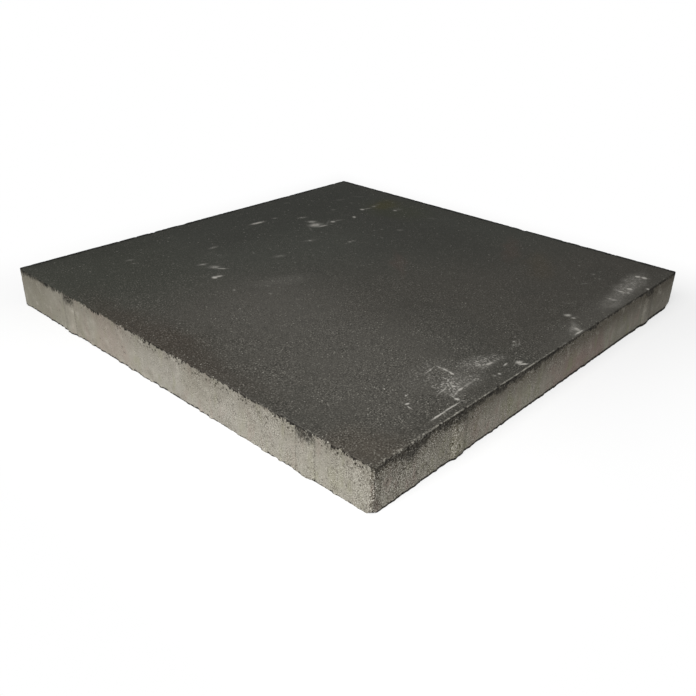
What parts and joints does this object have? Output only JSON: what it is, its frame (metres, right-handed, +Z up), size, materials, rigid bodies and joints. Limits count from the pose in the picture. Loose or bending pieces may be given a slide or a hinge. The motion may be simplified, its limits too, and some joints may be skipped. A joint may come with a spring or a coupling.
{
  "type": "concrete paving slab",
  "caption": "Square pressed concrete paving slab: flat dark grey wearing face, paler grey sides, and low staggered spacer nibs that set the joint to the next slab.",
  "frame": {"origin": "centre of the bed face, on the ground the slab lies on", "axes": "+Z up, towards the wearing face; X and Y along the sides, with the side at the picture's left facing -X and the side at its right facing -Y"},
  "size_m": [0.602, 0.602, 0.05],
  "materials": {
    "concrete": "fine sandy pressed concrete, matt, dark grey through the facing on top and pale grey below it"
  },
  "bodies": {
    "root": {"slab": "concrete"}
  },
  "joints": []
}
